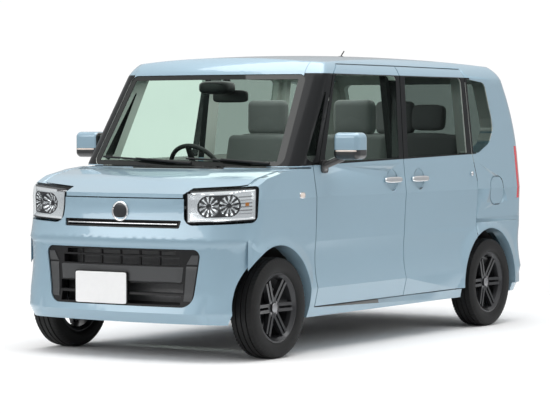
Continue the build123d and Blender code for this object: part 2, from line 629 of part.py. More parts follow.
strut_foot = (530, FRONT_AXLE_Y, 390)
carrier = rod((HUB_X - 48, FRONT_AXLE_Y, TYRE_RADIUS), (HUB_X - RUN_GAP, FRONT_AXLE_Y, TYRE_RADIUS), 46)
carrier = carrier + rod(tuple(Vector(*BALL) + pin_line * 24), (HUB_X - 40, FRONT_AXLE_Y, TYRE_RADIUS), 16)
carrier = carrier + on_pin(0, 20, 34) + rod((HUB_X - 50, FRONT_AXLE_Y, TYRE_RADIUS), strut_foot, 18)
strut_end = tuple(Vector(*STRUT_TOP) - pin_line * 30)
carrier = carrier + rod((530, FRONT_AXLE_Y, 370), strut_end, 22) + Pos(*strut_end) * Sphere(22)
pin_length = (Vector(*STRUT_TOP) - Vector(*BALL)).length
carrier = carrier + on_pin(pin_length - 34, 30, 34)
for side, shape in zip(("left", "right"), both_sides(largest(carrier))):
    save(f"knuckle_{side}", shape)

# Front frame: side rails, cross members, lower arms and strut towers
RAIL_X = (352, 406)
RADIATOR_BAY = (-1558, -1524)
frame = block((-RAIL_X[1], RAIL_X[1]), RADIATOR_BAY, (262, 300))
frame = frame + block((-RAIL_X[1], RAIL_X[1]), RADIATOR_BAY, (740, 780))
frame = frame + block((-RAIL_X[1], RAIL_X[1]), (-1300, -1160), (204, 252))
for rail in both_sides(block(RAIL_X, (RADIATOR_BAY[0], -985.3), (380, 440))):
    frame = frame + rail
for post in both_sides(block(RAIL_X, RADIATOR_BAY, (262, 780))):
    frame = frame + post
for leg in both_sides(block(RAIL_X, (-1290, -1170), (204, 900))):
    frame = frame + leg
tower_top = on_pin(pin_length + RUN_GAP, 46, 16)
tower = tower_top + block((RAIL_X[0], 520), (FRONT_AXLE_Y - 30, FRONT_AXLE_Y + 50), (876, 896))
lower_arm = on_pin(-RUN_GAP - 16, 22, 16)
lower_arm = lower_arm + rod((380, FRONT_AXLE_Y - 30, 216), (598, FRONT_AXLE_Y - 6, 152), 11)
lower_arm = lower_arm + rod((380, FRONT_AXLE_Y + 40, 216), (598, FRONT_AXLE_Y - 6, 152), 11)
for shape in [*both_sides(tower), *both_sides(lower_arm)]:
    frame = frame + shape
save("front_frame", largest(frame))
save("engine", block((-RAIL_X[0], RAIL_X[0]), (-1400, -1060), (252, 780)))
save("radiator", block((-RAIL_X[0], RAIL_X[0]), (RADIATOR_BAY[0] + 3, RADIATOR_BAY[1] - 3), (300, 740)))

# Rear axle: a cross tube, two trailing arms and the hub carriers
PIVOT = (430, 700, 262)
axle = rod((-480, 1040, 290), (480, 1040, 290), 34)
for side in (-1, 1):
    axle = axle + rod((side * PIVOT[0], PIVOT[1], PIVOT[2]), (side * 470, REAR_AXLE_Y, TYRE_RADIUS), 24)
    stub_ends = [(side * x, REAR_AXLE_Y, TYRE_RADIUS) for x in (440, HUB_X - RUN_GAP)]
    axle = axle + rod(*stub_ends, 44)
    axle = axle + rod((side * 440, REAR_AXLE_Y - 60, 290), (side * 440, REAR_AXLE_Y - 60, 395), 40)
    axle = axle + block(sorted((side * 400, side * 460)), (680, 720), (262, 395))
save("rear_axle", largest(axle))
save("fuel_tank", block((-480, 60), (60, 560), (150, 205)))
pipe_line = [(200, -1046, 300), (200, -860, 176), (200, 1300, 176), (60, 1460, 300)]
exhaust = rod(pipe_line[0], pipe_line[1], 22) + rod(pipe_line[1], pipe_line[2], 22)
exhaust = exhaust + rod(pipe_line[2], pipe_line[3], 22)
for joint in pipe_line[1:3]:
    exhaust = exhaust + Pos(*joint) * Sphere(22)
exhaust = exhaust + rod((-380, 1480, 320), (120, 1480, 320), 75)
save("exhaust", exhaust)

# Inside: dashboard with its column, steering wheel, seats
DASH = [(-1000, 928), (-880, 985), (-640, 965), (-560, 900)]
DASH += [(-600, 720), (-760, 600), (-957, 560), (-957, 928)]
DASH_HALF_WIDTH = 575
dashboard = across(DASH, (-DASH_HALF_WIDTH, DASH_HALF_WIDTH)) & FRAME_CORE
WHEEL_MIDDLE = (-330, -455, 955)
COLUMN_TILT = 28
column_line = Vector(0, cos(radians(COLUMN_TILT)), sin(radians(COLUMN_TILT)))
wheel_plane = Plane(origin=WHEEL_MIDDLE, x_dir=(1, 0, 0), z_dir=column_line)
column_top = Vector(*WHEEL_MIDDLE) - column_line * (30 + RUN_GAP)
dashboard = largest(dashboard + rod(tuple(column_top - column_line * 260), tuple(column_top), 30))
save("dashboard", dashboard)
STEERING_RADIUS = 183
steering = wheel_plane * Torus(STEERING_RADIUS - 13, 13)
steering = steering + wheel_plane * Pos(0, 0, -15) * Cylinder(52, 30)
for angle in (0, 180, 270):
    steering = steering + wheel_plane * Rot(0, 0, angle) * Pos(105, 0, -8) * Box(130, 34, 12)
save("steering_wheel", steering)


def seat(x, width, front_y, floor_z):
    """A seat on its box: cushion, reclined back and headrest."""
    half = width / 2
    base = block((x - half + 60, x + half - 60), (front_y + 60, front_y + 420), (floor_z, 560))
    cushion = block((x - half, x + half), (front_y, front_y + 500), (560, 690))
    cushion = fillet(cushion.edges(), 35)
    back = block((x - half, x + half), (front_y + 440, front_y + 560), (640, 1170))
    back = fillet(back.edges(), 35).rotate(Axis((0, front_y + 500, 640), (1, 0, 0)), -13)
    head = block((x - 130, x + 130), (front_y + 585, front_y + 675), (1165, 1370))
    head = fillet(head.edges(), 35)
    stem = block((x - 70, x + 70), (front_y + 608, front_y + 628), (1080, 1200))
    return base + cushion + back + head + stem


SEAT_FRONT_Y = -370
FLOOR_TOP = FLOOR_Z + FLOOR_THICK
save("front_seats", Compound(children=both_sides(seat(300, 500, SEAT_FRONT_Y, FLOOR_TOP))))
rear_seat = seat(0, 960, 640, 395 + FLOOR_THICK) - block((-600, 600), (500, 700 + 60), (0, 545))
save("rear_seat", rear_seat)

# Antenna on the roof
antenna_foot = (0, 600, ROOF_TOP + 4)
save("antenna", rod(antenna_foot, (0, 640, 1668), 3.5) + Pos(0, 600, ROOF_TOP + 4) * Cylinder(14, 8))
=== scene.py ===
import bmesh
import bpy
import json
import numpy as np
from math import cos, pi, radians, sin
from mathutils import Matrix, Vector
from mathutils.bvhtree import BVHTree


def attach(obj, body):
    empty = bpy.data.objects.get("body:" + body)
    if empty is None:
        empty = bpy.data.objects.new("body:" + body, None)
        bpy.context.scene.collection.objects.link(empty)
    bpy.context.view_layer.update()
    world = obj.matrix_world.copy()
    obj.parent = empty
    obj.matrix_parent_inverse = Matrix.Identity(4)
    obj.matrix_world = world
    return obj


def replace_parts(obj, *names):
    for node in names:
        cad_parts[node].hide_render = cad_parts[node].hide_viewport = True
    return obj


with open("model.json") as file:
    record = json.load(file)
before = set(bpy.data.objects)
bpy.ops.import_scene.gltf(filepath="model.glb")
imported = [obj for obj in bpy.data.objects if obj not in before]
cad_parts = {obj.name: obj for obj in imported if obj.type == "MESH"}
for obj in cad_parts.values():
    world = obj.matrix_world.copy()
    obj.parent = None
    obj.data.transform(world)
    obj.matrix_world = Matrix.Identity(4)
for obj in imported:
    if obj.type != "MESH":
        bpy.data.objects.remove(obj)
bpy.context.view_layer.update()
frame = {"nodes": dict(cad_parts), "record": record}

NODES = frame["nodes"]


# Body panels: pale blue paint under clear coat, black round the side windows. The doors' frames and
# the front pillars are the same pressings, with gloss black film on them between belt and roof rail.

PAINT = (0.262, 0.392, 0.480, 1)
PAINT_FLAKE = (0.277, 0.407, 0.495, 1)
FILM = (0.012, 0.013, 0.014, 1)
BELT_FRONT = 1.004
BELT_SLOPE = 0.0215
BELT_START_Y = -1.1
GLASS_TOP = 1.507
TRIM = (0.72, 0.75, 0.71, 1)
DARK_TRIM = (0.10, 0.105, 0.10, 1)
TRIM_FOOT = 1.0
CABIN_MIDDLE = (0, 0.1, 1.0)
INWARD_LIMIT = -0.12
FILM_DULLING = 0.85


def material(name):
    """A new material: its node tree, its principled shader and its links."""
    made = bpy.data.materials.new(name)
    made.use_nodes = True
    return made, made.node_tree.nodes, made.node_tree.links


def setup(shader, **values):
    """Writes constants on the principled shader's sockets; underscores stand for spaces."""
    for key, value in values.items():
        shader.inputs[key.replace("_", " ")].default_value = value


def noise(nodes, links, scale, detail=3.0):
    """A noise texture in the piece's own coordinates."""
    place = nodes.new("ShaderNodeTexCoord")
    texture = nodes.new("ShaderNodeTexNoise")
    texture.inputs["Scale"].default_value = scale
    texture.inputs["Detail"].default_value = detail
    links.new(place.outputs["Object"], texture.inputs["Vector"])
    return texture.outputs["Fac"]


def reckon(nodes, links, operation, a, b):
    """One arithmetic node; a and b are sockets or numbers."""
    node = nodes.new("ShaderNodeMath")
    node.operation = operation
    for socket, value in zip(node.inputs, (a, b)):
        if isinstance(value, (int, float)):
            socket.default_value = value
        else:
            links.new(value, socket)
    return node.outputs[0]


def mix_colour(nodes, links, mask, first, second):
    """A colour that is the first where the mask is 0 and the second where it is 1."""
    node = nodes.new("ShaderNodeMix")
    node.data_type = "RGBA"
    for socket, value in ((node.inputs[0], mask), (node.inputs[6], first), (node.inputs[7], second)):
        if isinstance(value, tuple):
            socket.default_value = value
        elif isinstance(value, float):
            socket.default_value = value
        else:
            links.new(value, socket)
    return node.outputs[2]


def dress(obj, made):
    """Gives the object this one material."""
    obj.data.materials.clear()
    obj.data.materials.append(made)
    return obj


def object_xyz(nodes, links):
    """The piece's own X, Y and Z as sockets."""
    place = nodes.new("ShaderNodeTexCoord")
    parts = nodes.new("ShaderNodeSeparateXYZ")
    links.new(place.outputs["Object"], parts.inputs[0])
    return parts.outputs


def trim_mask(nodes, links):
    """1 on faces that look inwards: there the normal points back towards the cabin's middle."""
    place = nodes.new("ShaderNodeTexCoord")
    out = nodes.new("ShaderNodeVectorMath")
    out.operation = "SUBTRACT"
    out.inputs[1].default_value = CABIN_MIDDLE
    flat = nodes.new("ShaderNodeVectorMath")
    flat.operation = "MULTIPLY"
    flat.inputs[1].default_value = (1.0, 0.25, 1.0)
    dot = nodes.new("ShaderNodeVectorMath")
    dot.operation = "DOT_PRODUCT"
    links.new(place.outputs["Object"], out.inputs[0])
    links.new(out.outputs[0], flat.inputs[0])
    links.new(flat.outputs[0], dot.inputs[0])
    links.new(place.outputs["Normal"], dot.inputs[1])
    return reckon(nodes, links, "LESS_THAN", dot.outputs["Value"], INWARD_LIMIT)


def paint(name, film_from=None, film_to=None, trim=False):
    """Paint, with black film where Y lies between the two limits and Z between belt and roof rail.
    With trim, faces that look inwards take the cabin's lining: pale above the belt and dark below it."""
    made, nodes, links = material(name)
    shader = nodes["Principled BSDF"]
    flakes = noise(nodes, links, 900.0, 1.0)
    colour = mix_colour(nodes, links, flakes, PAINT, PAINT_FLAKE)
    setup(shader, Roughness=0.32, Coat_Weight=1.0, Coat_Roughness=0.03, Coat_IOR=1.5, Metallic=0.15)
    if film_from is not None:
        _, y, z = object_xyz(nodes, links)
        along = reckon(nodes, links, "SUBTRACT", y, BELT_START_Y)
        rise = reckon(nodes, links, "MULTIPLY", along, BELT_SLOPE)
        belt = reckon(nodes, links, "ADD", rise, BELT_FRONT)
        mask = reckon(nodes, links, "GREATER_THAN", z, belt)
        mask = reckon(nodes, links, "MULTIPLY", mask, reckon(nodes, links, "LESS_THAN", z, GLASS_TOP))
        mask = reckon(nodes, links, "MULTIPLY", mask, reckon(nodes, links, "GREATER_THAN", y, film_from))
        mask = reckon(nodes, links, "MULTIPLY", mask, reckon(nodes, links, "LESS_THAN", y, film_to))
        colour = mix_colour(nodes, links, mask, colour, FILM)
        dulled = reckon(nodes, links, "MULTIPLY", mask, FILM_DULLING)
        bare = reckon(nodes, links, "SUBTRACT", 1.0, dulled)
        links.new(bare, shader.inputs["Coat Weight"])
        links.new(reckon(nodes, links, "MULTIPLY", bare, 0.5), shader.inputs["Specular IOR Level"])
    if trim:
        above = reckon(nodes, links, "GREATER_THAN", object_xyz(nodes, links)[2], TRIM_FOOT)
        lining = mix_colour(nodes, links, above, DARK_TRIM, TRIM)
        colour = mix_colour(nodes, links, trim_mask(nodes, links), colour, lining)
    links.new(colour, shader.inputs["Base Color"])
    return made


PAINTED = ["roof_panel", "bonnet", "fender_left", "fender_right", "front_bumper", "rear_bumper"]
PAINTED += ["tailgate", "fuel_flap", "door_mirror_left", "door_mirror_right"]


def polished(name, made):
    """A copy of a panel, points merged and curved faces shaded smooth, shown in its place."""
    data = NODES[name].data.copy()
    obj = bpy.data.objects.new(name + "_skin", data)
    bpy.context.scene.collection.objects.link(obj)
    work = bmesh.new()
    work.from_mesh(data)
    bmesh.ops.remove_doubles(work, verts=work.verts, dist=2e-5)
    bmesh.ops.dissolve_degenerate(work, edges=work.edges, dist=1e-6)
    work.to_mesh(data)
    work.free()
    data.shade_smooth()
    data.set_sharp_from_angle(angle=radians(18))
    dress(obj, made)
    body = next(b for b, nodes in frame["record"]["behaviour"]["bodies"].items() if name in nodes)
    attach(obj, body)
    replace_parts(obj, name)
    return obj


plain_paint = paint("body_paint")
door_paint = paint("door_paint", -2.0, 2.0, trim=True)
frame_paint = paint("frame_paint", -1.3, 1.0, trim=True)
lined_paint = paint("lined_paint", trim=True)
for panel_name in PAINTED:
    polished(panel_name, lined_paint if panel_name in ("roof_panel", "tailgate") else plain_paint)
for side in ("left", "right"):
    polished(f"front_door_{side}", door_paint)
    polished(f"sliding_door_{side}", door_paint)
    polished(f"side_frame_{side}", frame_paint)


# Glass: laminated windscreen with a baked black border, pale green front panes and dark privacy panes
# behind. The panes are the CAD solids, bonded or set into the openings.

CLEAR_TINT = (0.90, 0.965, 0.93, 1)
DARK_TINT = (0.56, 0.60, 0.585, 1)
GLOSS = 0.9
PANE_IOR = 1.35
BORDER_X = 0.6835
BORDER_LEAN = 0.096
BORDER_FOOT = 1.030
BORDER_TOP = 1.474
PRIVACY_FROM_Y = 0.0


def glass(name, tint, gloss, border=None):
    """A thin pane: light passes through tinted, and part of it is reflected at flat angles."""
    made, nodes, links = material(name)
    shader = nodes["Principled BSDF"]
    drift = noise(nodes, links, 3.0)
    setup(shader, Roughness=0.02, Base_Color=(0.01, 0.012, 0.011, 1), Specular_IOR_Level=0.35)
    clear = nodes.new("ShaderNodeBsdfTransparent")
    deeper = tuple(c * 0.97 for c in tint[:3]) + (1,)
    links.new(mix_colour(nodes, links, drift, tint, deeper), clear.inputs["Color"])
    fresnel = nodes.new("ShaderNodeFresnel")
    fresnel.inputs["IOR"].default_value = PANE_IOR
    facing = nodes.new("ShaderNodeNewGeometry")
    outer = reckon(nodes, links, "SUBTRACT", gloss, facing.outputs["Backfacing"])
    outer = reckon(nodes, links, "MAXIMUM", outer, 0.0)
    share = reckon(nodes, links, "MULTIPLY", fresnel.outputs[0], outer)
    if border is not None:
        share = reckon(nodes, links, "MAXIMUM", share, border(nodes, links))
    both = nodes.new("ShaderNodeMixShader")
    links.new(share, both.inputs[0])
    links.new(clear.outputs[0], both.inputs[1])
    links.new(shader.outputs[0], both.inputs[2])
    links.new(both.outputs[0], nodes["Material Output"].inputs["Surface"])
    return made


def screen_border(nodes, links):
    """1 on the windscreen's black border: near its side edges, its base and its top."""
    x, _, z = object_xyz(nodes, links)
    x = reckon(nodes, links, "ABSOLUTE", x, 0.0)
    edge = reckon(nodes, links, "ADD", reckon(nodes, links, "MULTIPLY", z, -BORDER_LEAN), BORDER_X)
    sides = reckon(nodes, links, "GREATER_THAN", x, edge)
    foot = reckon(nodes, links, "LESS_THAN", z, BORDER_FOOT)
    ends = reckon(nodes, links, "MAXIMUM", foot, reckon(nodes, links, "GREATER_THAN", z, BORDER_TOP))
    return reckon(nodes, links, "MAXIMUM", sides, ends)


dress(NODES["windscreen"], glass("screen_glass", CLEAR_TINT, GLOSS, screen_border))
front_glass = glass("front_glass", CLEAR_TINT, GLOSS)
rear_glass = glass("rear_glass", DARK_TINT, GLOSS)
for name in ("front_door_glass_left", "front_door_glass_right"):
    dress(NODES[name], front_glass)
dress(NODES["tailgate_glass"], rear_glass)


def by_length(name, tint_front, tint_rear, split):
    """Glass that is pale before a place along Y and dark behind it."""
    made = glass(name, tint_front, GLOSS)
    nodes, links = made.node_tree.nodes, made.node_tree.links
    mask = reckon(nodes, links, "GREATER_THAN", object_xyz(nodes, links)[1], split)
    clear = next(n for n in nodes if n.bl_idname == "ShaderNodeBsdfTransparent")
    links.new(mix_colour(nodes, links, mask, tint_front, tint_rear), clear.inputs["Color"])
    return made


dress(NODES["side_glass"], by_length("side_glass", CLEAR_TINT, DARK_TINT, PRIVACY_FROM_Y))


# Trim, running gear and seats: moulded plastics, painted and cast metal, rubber and woven cloth. These
# finishes go straight on the solids of the frame.


def finish_of(name, colour, other, scale, roughness, metallic=0.0, bump=0.0, **more):
    """A material whose colour drifts between two tones and whose surface has a fine grain."""
    made, nodes, links = material(name)
    shader = nodes["Principled BSDF"]
    field = noise(nodes, links, scale)
    links.new(mix_colour(nodes, links, field, colour, other), shader.inputs["Base Color"])
    setup(shader, Roughness=roughness, Metallic=metallic, **more)
    if bump:
        height = nodes.new("ShaderNodeBump")
        height.inputs["Strength"].default_value = bump
        height.inputs["Distance"].default_value = 0.001
        links.new(field, height.inputs["Height"])
        links.new(height.outputs["Normal"], shader.inputs["Normal"])
    return made


# Columns: base tone, second tone, grain scale, roughness, then what else the finish has
FINISHES = {
    "black_plastic": ((0.006, 0.006, 0.0065, 1), (0.010, 0.010, 0.011, 1), 220.0, 0.42,
                      {"bump": 0.2, "Specular_IOR_Level": 0.3}),
    "grey_plastic": ((0.045, 0.046, 0.048, 1), (0.058, 0.06, 0.062, 1), 200.0, 0.42, {"bump": 0.2}),
    "dash_plastic": ((0.02, 0.02, 0.021, 1), (0.03, 0.03, 0.031, 1), 300.0, 0.6, {"bump": 0.4}),
    "chassis_black": ((0.02, 0.02, 0.022, 1), (0.035, 0.034, 0.033, 1), 12.0, 0.65, {"bump": 0.2}),
    "gunmetal": ((0.030, 0.031, 0.034, 1), (0.040, 0.041, 0.044, 1), 500.0, 0.33,
                 {"metallic": 0.6, "Coat_Weight": 0.4}),
    "casting": ((0.16, 0.16, 0.165, 1), (0.22, 0.22, 0.22, 1), 60.0, 0.55, {"metallic": 0.6, "bump": 0.4}),
    "steel": ((0.4, 0.39, 0.37, 1), (0.5, 0.48, 0.45, 1), 25.0, 0.35, {"metallic": 1.0}),
    "chrome": ((0.82, 0.83, 0.84, 1), (0.9, 0.9, 0.9, 1), 30.0, 0.08, {"metallic": 1.0}),
    "rubber": ((0.0055, 0.0055, 0.006, 1), (0.010, 0.010, 0.010, 1), 90.0, 0.6,
               {"bump": 0.15, "Specular_IOR_Level": 0.3}),
    "seat_cloth": ((0.085, 0.09, 0.09, 1), (0.12, 0.125, 0.125, 1), 700.0, 0.9,
                   {"bump": 0.6, "Sheen_Weight": 0.3}),
    "red_lens": ((0.55, 0.008, 0.02, 1), (0.7, 0.02, 0.035, 1), 60.0, 0.08, {"Coat_Weight": 1.0}),
}
finishes = {name: finish_of(name, *row[:4], **row[4]) for name, row in FINISHES.items()}
plastics = ("black_plastic", "grey_plastic", "dash_plastic")
black_plastic, grey_plastic, dash_plastic = (finishes[kind] for kind in plastics)
gunmetal, chrome, rubber, cloth = (finishes[kind] for kind in ("gunmetal", "chrome", "rubber", "seat_cloth"))
CAD_FINISHES = {
    "black_plastic": ["grille", "cowl", "wheel_liners", "antenna", "fuel_tank"],
    "dash_plastic": ["dashboard", "steering_wheel"],
    "chassis_black": ["floor_pan", "front_frame", "rear_axle"],
    "casting": ["knuckle_left", "knuckle_right", "engine", "radiator"],
    "steel": ["exhaust"],
    "seat_cloth": ["front_seats", "rear_seat"],
    "red_lens": ["tail_lamps"],
    "gunmetal": ["rim_front_left", "rim_front_right", "rim_rear_left", "rim_rear_right"],
    "rubber": ["tyre_front_left", "tyre_front_right", "tyre_rear_left", "tyre_rear_right"],
}
for finish_name, names in CAD_FINISHES.items():
    for name in names:
        dress(NODES[name], finishes[finish_name])


# Headlamps: a clear lens, which is the CAD piece, over a bright ring, two finned bowls and an amber end.
# The inside is one pressed sheet that follows the lens a few millimetres behind it.


def mesh_of(name, points, faces, made, smooth=True):
    """An object from arrays of points and faces."""
    data = bpy.data.meshes.new(name)
    data.from_pydata([tuple(p) for p in points], [], [tuple(f) for f in faces])
    data.update()
    obj = bpy.data.objects.new(name, data)
    bpy.context.scene.collection.objects.link(obj)
    if smooth:
        data.shade_smooth()
        data.set_sharp_from_angle(angle=radians(35))
    dress(obj, made)
    return obj


def grid_faces(rows, columns, closed=False):
    """Quads of a grid of points laid out row by row; closed joins the last column to the first."""
    index = np.arange(rows * columns).reshape(rows, columns)
    if closed:
        index = np.concatenate([index, index[:, :1]], axis=1)
    corners = (index[:-1, :-1], index[:-1, 1:], index[1:, 1:], index[1:, :-1])
    return np.stack(corners, axis=-1).reshape(-1, 4)


LAMP_TURN = radians(35)
LAMP_ACROSS = np.array([cos(LAMP_TURN), sin(LAMP_TURN), 0])
LAMP_OUT = np.array([sin(LAMP_TURN), -cos(LAMP_TURN), 0])
LAMP_CORNERS = ((-0.600, 0.716), (-0.600, 0.880), (-0.236, 0.734), (-0.233, 0.901))
LAMP_LENGTH = 2.25
LAMP_FINS = 11
BOWL_MIDDLES = (0.72, 1.36)
BOWL_RADIUS = 0.33
OVAL_RADIUS = 0.35


def tree_of(name):
    """A search tree over a CAD node's surface."""
    data = NODES[name].data
    return BVHTree.FromPolygons([v.co for v in data.vertices], [p.vertices[:] for p in data.polygons])


def lamp_sheet(side):
    """A grid over the lamp's opening, each point set back from the lens along the lamp's own direction.
    The setback is small at the rim, steady on the ring, and in each bowl a paraboloid with square radial
    waves; tone is bright on the ring and dark in the oval round both bowls, and the fins carry a painted
    reflection: bright on the raised sectors and dark on the sunk ones."""
    rows, columns = 56, 112
    s, t = np.meshgrid(np.linspace(0, 1, columns), np.linspace(0, 1, rows))
    (u0, z0), (u1, z1), (u2, z2), (u3, z3) = LAMP_CORNERS
    u = (u0 * (1 - t) + u1 * t) * (1 - s) + (u2 * (1 - t) + u3 * t) * s
    z = (z0 * (1 - t) + z1 * t) * (1 - s) + (z2 * (1 - t) + z3 * t) * s
    x, y = s * LAMP_LENGTH, t
    edge = np.minimum(np.minimum(x, LAMP_LENGTH - x), np.minimum(y, 1 - y))
    depth = 0.004 + 0.010 * np.clip(edge / 0.10, 0, 1)
    tone = np.where(edge < 0.045, 0.0, 1.0)
    oval = np.hypot(np.clip(np.abs(x - sum(BOWL_MIDDLES) / 2) - 0.34, 0, None), y - 0.5)
    tone = np.where(oval < OVAL_RADIUS, 0.06, tone)
    for middle in BOWL_MIDDLES:
        away = np.hypot(x - middle, y - 0.5) / BOWL_RADIUS
        angle = np.arctan2(y - 0.5, x - middle)
        bowl = np.clip(1 - away**2, 0, 1)
        inside = away < 1
        depth = np.where(inside, np.maximum(depth, 0.014 + 0.020 * bowl), depth)
        fins = np.sign(np.sin(angle * LAMP_FINS + 2 * middle))
        fins = fins * np.clip(away * 1.3, 0, 1) * np.clip((1 - away) * 5, 0, 1)
        depth = depth + np.where(inside, 0.003 * fins, 0)
        # Painted reflection: raised fin sectors are coloured bright and sunk ones dark, as if the chrome
        # facets caught light or did not.
        tone = np.where(inside & (away > 0.18), np.where(fins > 0.35, 0.8, 0.05), tone)
    amber = ((np.abs(x - 1.93) < 0.06) & (np.abs(y - 0.52) < 0.06)).astype(float)
    tone = np.where((x > 1.66) & (np.sin(y * 60) > 0.55) & (oval > 0.36) & (edge > 0.15), 0.45, tone)
    sign = 1 if side == "left" else -1
    tree = tree_of("headlamps")
    outward = Vector((LAMP_OUT[0] * sign, LAMP_OUT[1], 0))
    points = []
    last = 1.4
    for du, dz, dd in zip(u.ravel(), z.ravel(), depth.ravel()):
        foot = LAMP_ACROSS * du
        base = Vector((foot[0] * sign, foot[1], dz))
        hit, _, _, distance = tree.ray_cast(base + outward * 3, -outward)
        last = 3 - distance if hit is not None else last
        points.append(base + outward * (last - dd))
    sheet = mesh_of(f"headlamp_inside_{side}", points, grid_faces(rows, columns), lamp_metal)
    for label, values in (("tone", tone), ("amber", amber)):
        layer = sheet.data.attributes.new(label, "FLOAT", "POINT")
        layer.data.foreach_set("value", values.ravel().astype(np.float32))
    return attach(sheet, "car_body")


lamp_metal, nodes, links = material("lamp_metal")
tone = nodes.new("ShaderNodeAttribute")
tone.attribute_name = "tone"
amber = nodes.new("ShaderNodeAttribute")
amber.attribute_name = "amber"
bright = mix_colour(nodes, links, tone.outputs["Fac"], (0.02, 0.02, 0.022, 1), (0.93, 0.94, 0.95, 1))
lamp_colour = mix_colour(nodes, links, amber.outputs["Fac"], bright, (0.75, 0.30, 0.08, 1))
links.new(lamp_colour, nodes["Principled BSDF"].inputs["Base Color"])
setup(nodes["Principled BSDF"], Roughness=0.16, Metallic=0.75)
dress(NODES["headlamps"], glass("lamp_lens", (0.93, 0.95, 0.96, 1), 1.0))
for side in ("left", "right"):
    lamp_sheet(side)


# Front trim: a blank plate on its holder, a plain round badge, a bright bar in the slim grille, grey
# skins on the lower grille and clear side markers. Pressed metal and chromed or grey plastic, clipped on.


def tube(path, radius, sides=12):
    """Points and faces of a round tube along a path of points; the radius may change along it."""
    path = np.asarray(path, float)
    radius = np.broadcast_to(radius, len(path))
    along = np.gradient(path, axis=0)
    along /= np.linalg.norm(along, axis=1)[:, None]
    helper = np.where(np.abs(along[:, 2:3]) > 0.9, [[1.0, 0, 0]], [[0, 0, 1.0]])
    first = np.cross(along, helper)
    first /= np.linalg.norm(first, axis=1)[:, None]
    second = np.cross(along, first)
    angle = np.linspace(0, 2 * pi, sides, endpoint=False)
    ring = first[:, None] * np.cos(angle)[None, :, None] + second[:, None] * np.sin(angle)[None, :, None]
    points = path[:, None] + ring * radius[:, None, None]
    faces = grid_faces(len(path), sides, closed=True).tolist()
    last = (len(path) - 1) * sides
    faces += [list(range(sides))[::-1], list(range(last, last + sides))]
    return points.reshape(-1, 3), faces


def pill(middle, size, power=4.0, rows=18, columns=36):
    """Points and faces of a rounded block: a sphere's angles raised to a power, so the sides flatten."""
    up = np.linspace(-pi / 2, pi / 2, rows)[:, None]
    turn = np.linspace(0, 2 * pi, columns, endpoint=False)[None, :]

    def bend(value):
        return np.sign(value) * np.abs(value) ** (2 / power)

    x = bend(np.cos(up)) * bend(np.cos(turn)) * size[0] / 2
    y = bend(np.cos(up)) * bend(np.sin(turn)) * size[1] / 2
    z = bend(np.sin(up)) * np.ones_like(turn) * size[2] / 2
    points = np.stack(np.broadcast_arrays(x, y, z), axis=-1) + np.asarray(middle)
    return points.reshape(-1, 3), grid_faces(rows, columns, closed=True)


def on_body(name, start, direction):
    """Where a ray from a point first meets a CAD node."""
    hit, _, _, _ = tree_of(name).ray_cast(Vector(start), Vector(direction))
    return hit


def fitted(name, shape, made, body):
    """An added piece from points and faces, carried by a body and dressed in the given finish."""
    points, faces = shape
    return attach(mesh_of(name, points, faces, made), body)


plate_white = finish_of("plate_white", (0.85, 0.85, 0.85, 1), (0.8, 0.8, 0.8, 1), 40.0, 0.35)
PLATE_MIDDLE = Vector((-0.102, -1.681, 0.372))
# Columns: name, size, how far behind the plate's middle, finish
PLATE_PARTS = [
    ("plate", (0.330, 0.004, 0.165), 0.0, plate_white),
    ("plate_holder", (0.342, 0.010, 0.177), 0.006, black_plastic),
]
for piece, size, setback, made in PLATE_PARTS:
    shape = pill(PLATE_MIDDLE + Vector((0, setback, 0)), size, power=24.0, rows=20, columns=48)
    fitted(piece, shape, made, "car_body")
BADGE = Vector((0, 0, 0.774))
BADGE_RADIUS = 0.048
BADGE.y = on_body("front_bumper", (0, -3, BADGE.z), (0, 1, 0)).y
angle = np.linspace(0, 2 * pi, 49)
ring_x, ring_z = BADGE_RADIUS * np.cos(angle), BADGE.z + BADGE_RADIUS * np.sin(angle)
ring_path = np.stack([ring_x, np.full(49, BADGE.y - 0.004), ring_z], axis=1)
fitted("badge_ring", tube(ring_path, 0.0055), chrome, "car_body")
badge_face = pill((0, BADGE.y - 0.001, BADGE.z), (0.092, 0.012, 0.092), power=2.2)
fitted("badge_face", badge_face, gunmetal, "car_body")
slot_x = np.linspace(-0.352, 0.352, 33)
slot_path = [on_body("grille", (x, -3, 0.711), (0, 1, 0)) + Vector((0, -0.004, 0)) for x in slot_x]
fitted("slim_grille_bar", tube(slot_path, 0.0035), chrome, "car_body")


def grille_sheet(name, low, high, columns=40, rows=14):
    """A raised skin on the lower grille between two rows of X at a low and a high Z: it stands 4 mm proud
    of the grille and dips 2 mm behind its face along its whole border."""
    s, t = np.meshgrid(np.linspace(0, 1, columns), np.linspace(0, 1, rows))
    x = (low[0] + (low[1] - low[0]) * s) * (1 - t) + (high[0] + (high[1] - high[0]) * s) * t
    z = low[2] * (1 - t) + high[2] * t
    border = (s == 0) | (s == 1) | (t == 0) | (t == 1)
    points = []
    y = None
    for px, pz, on_edge in zip(x.ravel(), z.ravel(), border.ravel()):
        hit = GRILLE_TREE.ray_cast(Vector((px, -3, pz)), Vector((0, 1, 0)))[0]
        y = hit.y if hit is not None and hit.y < -1.60 else y
        points.append((px, y + (0.002 if on_edge else -0.004), pz))
    made = mesh_of(name, points, grid_faces(rows, columns), grey_plastic)
    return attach(made, "car_body")


GRILLE_TREE = tree_of("grille")
grille_sheet("grille_bar", (-0.392, 0.392, 0.408), (-0.402, 0.402, 0.492))
